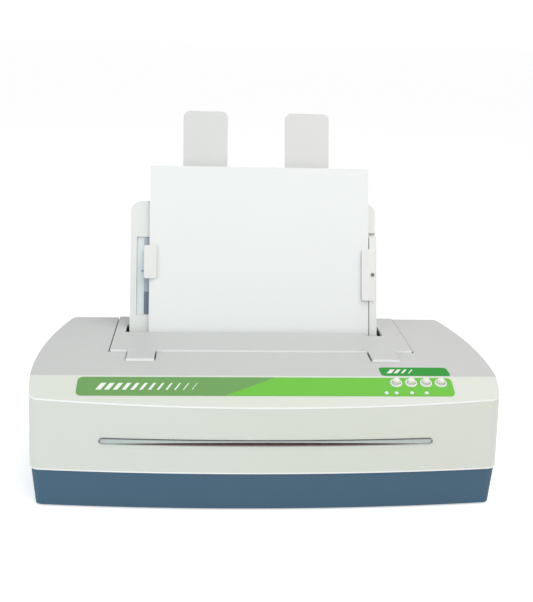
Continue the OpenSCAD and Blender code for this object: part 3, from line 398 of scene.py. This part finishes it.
class MaterialLibrary:
    """Makes each finish's procedural material once."""

    def __init__(self) -> None:
        """Start with no material made."""
        self._made: dict[str, bpy.types.Material] = {}

    def get(self, finish: Finish) -> bpy.types.Material:
        """Return the material of a finish.

        Args:
            finish: The finish wanted.

        Returns:
            The material, made at the first call.
        """
        if finish.name not in self._made:
            self._made[finish.name] = self._make(finish)
        return self._made[finish.name]

    def _make(self, finish: Finish) -> bpy.types.Material:
        """Make the material of a finish.

        Args:
            finish: The finish.

        Returns:
            The material.
        """
        material, graph = self._start(finish)
        # Painted highlight on the faces that look to the front.
        if finish.front_highlight is not None:
            graph.tint(graph.ramp(graph.axis("Normal", "Y"), *FRONT_FACES), finish.front_highlight)
        for line in finish.lines:
            place = graph.along("Object", line.normal)
            rise = graph.ramp(place, line.start - line.soft, line.start)
            fall = graph.ramp(place, line.end + line.soft, line.end)
            graph.tint(graph.math("MULTIPLY", rise, fall), line.color)
        if finish.backdrop > 0.0:
            glow = graph.math("MULTIPLY", background_rays(graph.tree), finish.backdrop)
            graph.feed("Emission Strength", glow)
        if finish.plies is not None:
            half, normal = 0.5 * finish.plies.pitch, finish.plies.normal
            layer = graph.math("PINGPONG", graph.along("Object", normal), half)
            cut = graph.math("LESS_THAN", graph.math("ABSOLUTE", graph.along("Normal", normal)), CUT_FACES)
            lines = graph.math("MULTIPLY", graph.ramp(layer, 0.0, half), cut)
            graph.tint(lines, [c * (1.0 - finish.plies.shade) for c in finish.color])
        return material

    @staticmethod
    def _start(finish: Finish) -> tuple[bpy.types.Material, Graph]:
        """Start a material with a finish's colour and gloss, slow colour change, handled spots and grain.

        Args:
            finish: The finish.

        Returns:
            The material and its graph.
        """
        material = bpy.data.materials.new(finish.name)
        material.use_nodes = True
        graph = Graph(material)
        inputs = graph.shader.inputs
        inputs["Base Color"].default_value = (*finish.color, 1.0)
        inputs["Roughness"].default_value = finish.roughness
        inputs["Metallic"].default_value = finish.metallic
        inputs["Specular IOR Level"].default_value = finish.specular
        inputs["Coat Weight"].default_value = finish.coat
        inputs["Emission Color"].default_value = (1.0, 1.0, 1.0, 1.0)
        inputs["Emission Strength"].default_value = 0.0
        if finish.mottle > 0.0:
            graph.tint(graph.noise(finish.spread), [c * (1.0 - finish.mottle) for c in finish.color])
        if finish.handled > 0.0:
            spots = graph.ramp(graph.noise(SPOT_FINENESS * finish.spread), *SPOT_RANGE)
            graph.feed("Roughness", graph.math("MULTIPLY_ADD", spots, finish.handled, finish.roughness))
        if finish.grain is not Grain.NONE:
            scale, strength = finish.grain.value
            graph.bump(graph.noise(scale), strength)
        return material, graph

    def slot(self, design: SlotDesign, half: float, top: float) -> bpy.types.Material:
        """Return the mouthpiece's finish: a bright face, with painted shade as a dark line along its upper
        edge and ends and as brown inside the gap.

        Args:
            design: Its colours.
            half: Half width of the mouthpiece.
            top: Height of its upper edge.

        Returns:
            The material.
        """
        trim = Finish("slot_trim", design.face, 0.25, specular=0.5, grain=Grain.SATIN, coat=0.4)
        material, graph = self._start(trim)
        # Painted shade: the faces inside the gap turn brown.
        graph.tint(graph.ramp(graph.axis("Normal", "Y"), *GAP_FACES), design.gap)
        side = graph.math("ABSOLUTE", graph.axis("Object", "X"))
        # Painted shade: a dark line along the upper edge and the ends.
        for place, edge in ((graph.axis("Object", "Z"), top), (side, half)):
            graph.tint(graph.ramp(place, edge - design.reach, edge - design.full), design.outline)
        return material

    def overlay(self, design: OverlayDesign) -> bpy.types.Material:
        """Return the overlay's printed film: two greens that meet on a slanted line.

        Args:
            design: Colours and place of the split.

        Returns:
            The material.
        """
        film = Finish("overlay_film", design.left, 0.45, specular=0.25, grain=Grain.SATIN)
        material, graph = self._start(film)
        depth, across = graph.axis("Object", "Y"), graph.axis("Object", "X")
        place = graph.math("MULTIPLY_ADD", depth, design.slant, across)
        graph.tint(graph.ramp(place, design.split - design.soft, design.split + design.soft), design.right)
        return material


class Band:
    """The sloped control band, found from the overlay strip that lies on it."""

    FILM = 0.6 * MM
    NORMAL = Vector((0.0, -math.sin(BAND_SLOPE), math.cos(BAND_SLOPE)))
    DOWN = Vector((0.0, -math.cos(BAND_SLOPE), -math.sin(BAND_SLOPE)))

    @classmethod
    def corner(cls) -> Vector:
        """Return the left rear corner of the strip's printed face.

        Returns:
            The point.
        """
        low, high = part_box("control_overlay")
        return Vector((low[0], high[1] + cls.FILM * cls.NORMAL.y, high[2]))


@dataclass(frozen=True)
class Plane:
    """A flat face that a motif is printed on.

    Attributes:
        origin: Its corner, on the left of its rear edge.
        along: Unit vector to the right.
        down: Unit vector towards the front edge.
    """

    origin: Vector
    along: Vector
    down: Vector

    def lay(self, x: float, y: float, width: float, height: float, slant: float, film: float) -> Matrix:
        """Return the matrix that lays a unit cube on the face as a slanted bar.

        Args:
            x: Distance of the bar's middle from the left.
            y: Distance of the bar's middle from the rear edge.
            width: Its width.
            height: Its reach towards the front.
            slant: Shift to the left per unit of reach.
            film: Height of the print above the face, and its depth below it.

        Returns:
            The matrix.
        """
        side = self.along * width
        reach = (self.along * slant - self.down) * height
        up = self.down.cross(self.along) * (2.0 * film)
        turn = Matrix((side, reach, up)).transposed().to_4x4()
        return Matrix.Translation(self.origin + self.along * x + self.down * y) @ turn


@dataclass(frozen=True)
class BarMotif:
    """Row of slanted bars that grow thinner to the right.

    Attributes:
        start: Distance of the first bar from the left.
        middle: Distance of the row from the rear edge.
        count: Number of bars.
        pitch: Spacing of the bars.
        widest: Width of the first bar.
        thinnest: Width of the last bar.
        height: Reach of a bar.
        slant: Slant of the bars.
        film: Height of the print.
    """

    start: float
    middle: float
    count: int
    pitch: float
    widest: float
    thinnest: float
    height: float
    slant: float = 0.5
    film: float = 0.04 * MM

    def draw(self, bm: bmesh.types.BMesh, plane: Plane) -> None:
        """Draw the bars on a face.

        Args:
            bm: Mesh that takes the bars.
            plane: The face.
        """
        for i in range(self.count):
            width = self.widest + (self.thinnest - self.widest) * i / (self.count - 1)
            start = self.start + i * self.pitch
            place = plane.lay(start, self.middle, width, self.height, self.slant, self.film)
            bmesh.ops.create_cube(bm, size=1.0, matrix=place)


@dataclass(frozen=True)
class CapDome:
    """Domed top of a button's cap.

    Attributes:
        foot: Height of its foot above the printed strip, inside the cap.
        top: Height of its top.
        wide: Radius at the foot.
        narrow: Radius at the top.
        rounding: Rounding of its upper edge.
        inset: Distance of the buttons from the strip's rear edge.
        sides: Sides of the turned form.
        steps: Bevel segments of the rounding.
        level: Turn of a face towards the axis from which it is flat.
    """

    foot: float = 1.5 * MM
    top: float = 6.2 * MM
    wide: float = 4.46 * MM
    narrow: float = 4.0 * MM
    rounding: float = 2.5 * MM
    inset: float = 9.0 * MM
    sides: int = 48
    steps: int = 8
    level: float = 0.999

    def draw(self, bm: bmesh.types.BMesh, x: float) -> None:
        """Turn the dome on the axis of a button.

        Args:
            bm: Mesh that takes the dome.
            x: Place of the button across the machine.
        """
        at = Band.corner() + Band.DOWN * self.inset + Band.NORMAL * (0.5 * (self.foot + self.top))
        at.x = x
        place = Matrix.Translation(at) @ Matrix.Rotation(BAND_SLOPE, 4, "X")
        bmesh.ops.create_cone(bm, cap_ends=True, segments=self.sides, radius1=self.wide, radius2=self.narrow,
                              depth=self.top - self.foot, matrix=place)
        middle = at.dot(Band.NORMAL)
        rim = [e for e in bm.edges if all(v.co.dot(Band.NORMAL) > middle for v in e.verts)]
        bmesh.ops.bevel(bm, geom=rim, offset=self.rounding, segments=self.steps, profile=0.5,
                        affect="EDGES", material=-1)
        for face in bm.faces:
            face.smooth = abs(face.normal.dot(Band.NORMAL)) < self.level


@dataclass(frozen=True)
class Edge:
    """Rounding of a node's sharp edges.

    Attributes:
        width: Bevel width.
        segments: Bevel segments.
        angle: Smallest edge angle that is rounded, in degrees.
    """

    width: float
    segments: int
    angle: float = 32.0


@dataclass
class SubAssembly(ABC):
    """A group of CAD nodes with its own extra pieces.

    Attributes:
        library: Where its materials come from.
    """

    library: MaterialLibrary

    def build(self) -> None:
        """Add the pieces that only the looks need, if there are any."""

    @abstractmethod
    def dress(self) -> None:
        """Give the sub-assembly's CAD nodes their finish."""

    def paint(self, nodes: Iterable[str], finish: Finish, edge: Edge | None = None) -> None:
        """Give CAD nodes one finish and, if asked, soft edges.

        Args:
            nodes: Node names.
            finish: Finish of all of them.
            edge: Rounding of their sharp edges.
        """
        for name in nodes:
            node = self.cover(name, self.library.get(finish))
            if edge is not None:
                self.soften(node, edge)

    @staticmethod
    def cover(name: str, material: bpy.types.Material) -> bpy.types.Object:
        """Give one CAD node a material.

        Args:
            name: Node name.
            material: The material.

        Returns:
            The node's object.
        """
        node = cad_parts[name]
        node.data.materials.clear()
        node.data.materials.append(material)
        LOG.info("dressed %s in %s", name, material.name)
        return node

    @staticmethod
    def soften(node: bpy.types.Object, edge: Edge) -> None:
        """Round a node's sharp edges with live modifiers.

        Args:
            node: The CAD node.
            edge: Its rounding.
        """
        weld = node.modifiers.new("weld", "WELD")
        weld.merge_threshold = WELD_REACH
        bevel = node.modifiers.new("edges", "BEVEL")
        bevel.width = edge.width
        bevel.segments = edge.segments
        bevel.limit_method = "ANGLE"
        bevel.angle_limit = math.radians(edge.angle)
        bevel.harden_normals = True
        weight = node.modifiers.new("normals", "WEIGHTED_NORMAL")
        weight.keep_sharp = True
        weight.weight = FULL_WEIGHT

    def piece(self, name: str, fill: Callable[[bmesh.types.BMesh], None], finish: Finish, body: Body) -> None:
        """Make one looks-only piece that rides on a CAD body.

        Args:
            name: Object name.
            fill: Function that draws the piece into a bmesh.
            finish: Its finish.
            body: CAD body it moves with.
        """
        mesh = bpy.data.meshes.new(name)
        bm = bmesh.new()
        fill(bm)
        bm.to_mesh(mesh)
        bm.free()
        obj = bpy.data.objects.new(name, mesh)
        bpy.context.scene.collection.objects.link(obj)
        mesh.materials.append(self.library.get(finish))
        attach(obj, body.value)
        LOG.info("made %s on %s", name, body.value)


@dataclass
class Shells(SubAssembly):
    """Base pan, housing, top cover and their badge plate.

    Attributes:
        badge_x: Left and right edge of the badge plate.
        badge_y: Its front and rear edge.
        badge_t: Its thickness.
        badge_corner: Radius of its corners.
        badge_steps: Bevel segments of a corner.
        bars: Row of bars on it.
        seam: Height of the seam between housing and base pan.
        seam_highlight_width: Width of the painted highlight line above the seam.
        crease_highlight_span: Painted highlight line along the crease, from the band's face inwards.
        painted_highlight: Linear colour of both painted highlight lines.
        shell_edge: Rounding of the housing and the top cover.
        pan_edge: Rounding of the base pan.
    """

    badge_x: tuple[float, float] = (130.0 * MM, 208.0 * MM)
    badge_y: tuple[float, float] = (-104.9 * MM, -77.9 * MM)
    badge_t: float = 0.6 * MM
    badge_corner: float = 5.0 * MM
    badge_steps: int = 8
    bars: BarMotif = BarMotif(start=12.0 * MM, middle=13.5 * MM, count=4, pitch=7.5 * MM,
                              widest=5.2 * MM, thinnest=1.6 * MM, height=13.0 * MM)
    seam: float = 45.5 * MM
    seam_highlight_width: float = 1.3 * MM
    crease_highlight_span: tuple[float, float] = (1.6 * MM, 0.3 * MM)
    painted_highlight: tuple[float, float, float] = (0.97, 0.975, 0.96)
    shell_edge: Edge = Edge(0.8 * MM, 3)
    pan_edge: Edge = Edge(1.0 * MM, 3)

    def build(self) -> None:
        """Add the badge plate on the flat top, with its row of bars."""
        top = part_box("top_cover")[1][2]
        self.piece("badge_plate", lambda bm: self.draw_badge(bm, top), Palette.BADGE, Body.MACHINE)
        face = Plane(Vector((self.badge_x[0], self.badge_y[1], top + self.badge_t)), RIGHT, FRONT)
        self.piece("badge_bars", lambda bm: self.bars.draw(bm, face), Palette.MOTIF, Body.MACHINE)

    def draw_badge(self, bm: bmesh.types.BMesh, top: float) -> None:
        """Draw the badge plate.

        Args:
            bm: Mesh that takes the plate.
            top: Height of the flat top it lies on.
        """
        (x0, x1), (y0, y1) = self.badge_x, self.badge_y
        corners = [(x0, y0), (x1, y0), (x1, y1), (x0, y1)]
        face = bm.faces.new([bm.verts.new((x, y, top)) for x, y in corners])
        lifted = bmesh.ops.extrude_face_region(bm, geom=[face])
        upper = [v for v in lifted["geom"] if isinstance(v, bmesh.types.BMVert)]
        bmesh.ops.translate(bm, verts=upper, vec=(0.0, 0.0, self.badge_t))
        posts = [e for e in bm.edges if abs(e.verts[0].co.z - e.verts[1].co.z) > 0.5 * self.badge_t]
        bmesh.ops.bevel(bm, geom=posts, offset=self.badge_corner, segments=self.badge_steps, profile=0.5,
                        affect="EDGES", material=-1)
        bmesh.ops.recalc_face_normals(bm, faces=bm.faces[:])

    def dress(self) -> None:
        """Paint the shells."""
        level = Band.corner().dot(Band.NORMAL) - Band.FILM
        deep, shallow = self.crease_highlight_span
        # Painted highlights: a light line along the band's crease and one above the seam.
        crease = EdgeLine(tuple(Band.NORMAL), level - deep, level - shallow, self.painted_highlight)
        foot = EdgeLine(UPWARDS, self.seam, self.seam + self.seam_highlight_width, self.painted_highlight)
        self.paint(["main_housing"], replace(Palette.CREAM, lines=(crease, foot)), self.shell_edge)
        self.paint(["top_cover"], Palette.TOP, self.shell_edge)
        self.paint(["base_pan"], Palette.BLUE, self.pan_edge)
        self.paint(["rubber_feet"], Palette.RUBBER)


@dataclass
class LidUnit(SubAssembly):
    """Lid with its hinge and the pick unit below it.

    Attributes:
        lid_edge: Rounding of the lid.
        bracket_edge: Rounding of the brackets.
    """

    lid_edge: Edge = Edge(0.35 * MM, 2)
    bracket_edge: Edge = Edge(0.5 * MM, 2)

    def dress(self) -> None:
        """Paint the lid, its hinge and the pick unit."""
        self.paint(["lid"], Palette.TOP, self.lid_edge)
        self.paint(["hinge_brackets", "pick_bracket"], Palette.DARK, self.bracket_edge)
        self.paint(["hinge_pins", "pick_shaft"], Palette.STEEL)
        self.paint(["pick_rollers"], Palette.RUBBER)
        self.paint(["pick_motor"], Palette.ALUMINIUM)


@dataclass
class ControlBand(SubAssembly):
    """Overlay strip, buttons and indicators on the sloped band.

    Attributes:
        design: Printed design of the strip.
        bars: Row of bars on it.
        dome: Domed top of the button caps.
        buttons: Bodies of the buttons, from the first.
        button_edge: Rounding of the buttons.
        ring_edge: Rounding of their rings.
    """

    design: OverlayDesign = OverlayDesign()
    bars: BarMotif = BarMotif(start=26.0 * MM, middle=15.5 * MM, count=12, pitch=9.2 * MM,
                              widest=5.8 * MM, thinnest=0.8 * MM, height=11.0 * MM)
    dome: CapDome = CapDome()
    buttons: tuple[Body, ...] = (Body.BUTTON_1, Body.BUTTON_2, Body.BUTTON_3, Body.BUTTON_4)
    button_edge: Edge = Edge(0.3 * MM, 2)
    ring_edge: Edge = Edge(0.25 * MM, 2)

    def build(self) -> None:
        """Print the row of bars on the overlay strip and give the buttons their domed tops."""
        face = Plane(Band.corner(), RIGHT, Band.DOWN)
        self.piece("overlay_bars", lambda bm: self.bars.draw(bm, face), Palette.MOTIF, Body.MACHINE)
        for i, body in enumerate(self.buttons, start=1):
            low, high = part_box(f"push_button_{i}")
            middle = 0.5 * (low[0] + high[0])
            self.piece(f"button_dome_{i}", lambda bm, x=middle: self.dome.draw(bm, x), Palette.BUTTON, body)

    def dress(self) -> None:
        """Paint the band's nodes."""
        self.cover("control_overlay", self.library.overlay(self.design))
        caps = [f"push_button_{i}" for i, _ in enumerate(self.buttons, start=1)]
        self.paint(caps, Palette.BUTTON, self.button_edge)
        self.paint(["button_rings"], Palette.RING, self.ring_edge)
        self.paint(["led_lenses"], Palette.LENS)
        self.paint(["button_board"], Palette.BOARD)


@dataclass
class SheetFeeder(SubAssembly):
    """Leaning tray, its guides and supports, and the loaded sheets.

    Attributes:
        tray_edge: Rounding of the tray.
        slim_edge: Rounding of the supports and the guides.
    """

    tray_edge: Edge = Edge(0.8 * MM, 3)
    slim_edge: Edge = Edge(0.6 * MM, 3)

    def dress(self) -> None:
        """Paint the feeder."""
        self.paint(["feeder_tray"], Palette.WHITE, self.tray_edge)
        self.paint(["paper_support_left", "paper_support_right"], Palette.SUPPORT, self.slim_edge)
        self.paint(["edge_guide_left", "edge_guide_right"], Palette.GUIDE, self.slim_edge)
        self.paint(["guide_track"], Palette.TRACK)
        self.paint(["guide_slider"], Palette.SLIDE)
        self.paint(["paper_stack"], Palette.PAPER)
        self.paint(["feeder_screws"], Palette.SCREW)


@dataclass
class PaperPath(SubAssembly):
    """Exit slot, rollers, gears and the frames that carry them.

    Attributes:
        slot: Colours of the mouthpiece.
    """

    slot: SlotDesign = SlotDesign()

    def dress(self) -> None:
        """Paint the paper path."""
        half, _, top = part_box("slot_bezel")[1]
        self.cover("slot_bezel", self.library.slot(self.slot, half, top))
        sheet_metal = ["paper_guides", "chassis_plate", "side_frame_left", "side_frame_right"]
        self.paint(sheet_metal, Palette.SHEET_STEEL)
        self.paint(["feed_shaft", "exit_shaft", "frame_screws", "guide_rails"], Palette.STEEL)
        self.paint(["feed_rollers", "exit_rollers"], Palette.RUBBER)
        self.paint(["feed_gear", "exit_gear", "idler_gear"], Palette.ACETAL)
        self.paint(["pinch_shaft", "exit_pinch_shaft", "feed_ramp", "hammer_carriage"], Palette.DARK)
        self.paint(["motor_pinion"], Palette.BRASS)
        self.paint(["bushings"], Palette.BRONZE)
        self.paint(["feed_motor", "carriage_motor"], Palette.MOTOR)
        self.paint(["anvil_carriage", "carriage_drive", "idler_pulleys"], Palette.ALUMINIUM)
        self.paint(["drive_belts"], Palette.BELT)


@dataclass
class Electrics(SubAssembly):
    """Power supply, boards and rear sockets.

    Attributes:
        socket_edge: Rounding of the inlet and the rocker.
    """

    socket_edge: Edge = Edge(0.4 * MM, 2)

    def dress(self) -> None:
        """Paint the electrics."""
        self.paint(["power_supply"], Palette.ALUMINIUM)
        self.paint(["main_board"], Palette.BOARD)
        self.paint(["io_ports"], Palette.STEEL)
        self.paint(["power_inlet", "switch_rocker"], Palette.DARK, self.socket_edge)


@dataclass(frozen=True)
class Lamp:
    """One soft area light.

    Attributes:
        name: Object name.
        at: Position.
        aim: Point it faces.
        size: Side of the square.
        power: Watts.
        tint: Linear colour of the light.
    """

    name: str
    at: tuple[float, float, float]
    aim: tuple[float, float, float]
    size: float
    power: float
    tint: tuple[float, float, float]


@dataclass
class Studio:
    """Floor, lights and camera.

    Attributes:
        library: Where the floor's material comes from.
        eye: Place of the camera.
        pitch: Its tilt below the horizon, in degrees.
        yaw: Its turn to the right, in degrees.
        roll: Its roll, in degrees.
        focal_px: Its focal length in pixels of the picture.
        frame_px: Width of the picture in pixels.
        sensor: Width of its sensor in millimetres.
        near: Nearest distance it shows.
        room_light: Level of the light from all round.
        floor_reach: Half width of the floor.
        lamps: The lamps.
    """

    library: MaterialLibrary
    eye: tuple[float, float, float] = (-0.067, -1.1319, 0.5043)
    pitch: float = 15.1
    yaw: float = 3.63
    roll: float = 1.43
    focal_px: float = 978.9
    frame_px: float = 533.0
    sensor: float = 36.0
    near: float = 0.01
    room_light: float = 0.5
    floor_reach: float = 60.0
    lamps: Sequence[Lamp] = (
        Lamp("top_soft", at=(0.7, -0.3, 1.85), aim=(0.05, 0.0, 0.1), size=1.2, power=12.0,
             tint=(1.0, 0.995, 0.975)),
        Lamp("key_warm", at=(0.5, -1.4, 1.5), aim=(0.0, -0.05, 0.1), size=0.9, power=8.0,
             tint=(1.0, 0.985, 0.94)),
        Lamp("front_cool", at=(-1.0, -0.9, 0.6), aim=(-0.2, -0.1, 0.1), size=0.7, power=3.5,
             tint=(0.86, 1.0, 1.06)),
    )

    def build(self) -> None:
        """Set the stage."""
        self._floor()
        self._world()
        for lamp in self.lamps:
            self._lamp(lamp)
        self._camera()
        bpy.context.scene.view_settings.view_transform = "Standard"

    def _floor(self) -> None:
        """Lay the floor."""
        mesh = bpy.data.meshes.new("floor")
        bm = bmesh.new()
        bmesh.ops.create_grid(bm, x_segments=1, y_segments=1, size=self.floor_reach)
        bm.to_mesh(mesh)
        bm.free()
        floor = bpy.data.objects.new("floor", mesh)
        bpy.context.scene.collection.objects.link(floor)
        mesh.materials.append(self.library.get(Palette.FLOOR))

    def _world(self) -> None:
        """Light the room evenly, and show it as a white background."""
        world = bpy.data.worlds.new("studio_white")
        world.use_nodes = True
        tree = world.node_tree
        back = tree.nodes["Background"]
        back.inputs["Color"].default_value = (1.0, 1.0, 1.0, 1.0)
        level = tree.nodes.new("ShaderNodeMapRange")
        level.inputs["To Min"].default_value = self.room_light
        level.inputs["To Max"].default_value = 1.0
        tree.links.new(background_rays(tree), level.inputs["Value"])
        tree.links.new(level.outputs[0], back.inputs["Strength"])
        bpy.context.scene.world = world

    @staticmethod
    def _lamp(lamp: Lamp) -> None:
        """Hang one lamp.

        Args:
            lamp: The lamp.
        """
        data = bpy.data.lights.new(lamp.name, "AREA")
        data.size = lamp.size
        data.energy = lamp.power
        data.color = lamp.tint
        obj = bpy.data.objects.new(lamp.name, data)
        obj.location = lamp.at
        ray = Vector(lamp.aim) - Vector(lamp.at)
        obj.rotation_euler = ray.to_track_quat("-Z", "Y").to_euler()
        bpy.context.scene.collection.objects.link(obj)

    def _camera(self) -> None:
        """Place the camera."""
        data = bpy.data.cameras.new("camera")
        data.sensor_fit = "HORIZONTAL"
        data.sensor_width = self.sensor
        data.lens = self.sensor * self.focal_px / self.frame_px
        data.clip_start = self.near
        camera = bpy.data.objects.new("camera", data)
        turn = (Matrix.Rotation(math.radians(-self.yaw), 4, "Z")
                @ Matrix.Rotation(math.radians(90.0 - self.pitch), 4, "X")
                @ Matrix.Rotation(math.radians(self.roll), 4, "Z"))
        camera.matrix_world = Matrix.Translation(self.eye) @ turn
        bpy.context.scene.collection.objects.link(camera)
        bpy.context.scene.camera = camera


def main() -> None:
    """Dress the frame and set the stage."""
    logging.basicConfig(level=logging.INFO)
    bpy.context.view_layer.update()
    library = MaterialLibrary()
    for kind in (Shells, LidUnit, ControlBand, SheetFeeder, PaperPath, Electrics):
        part = kind(library)
        part.build()
        part.dress()
        LOG.info("finished %s", kind.__name__)
    Studio(library).build()


if __name__ == "__main__":
    main()
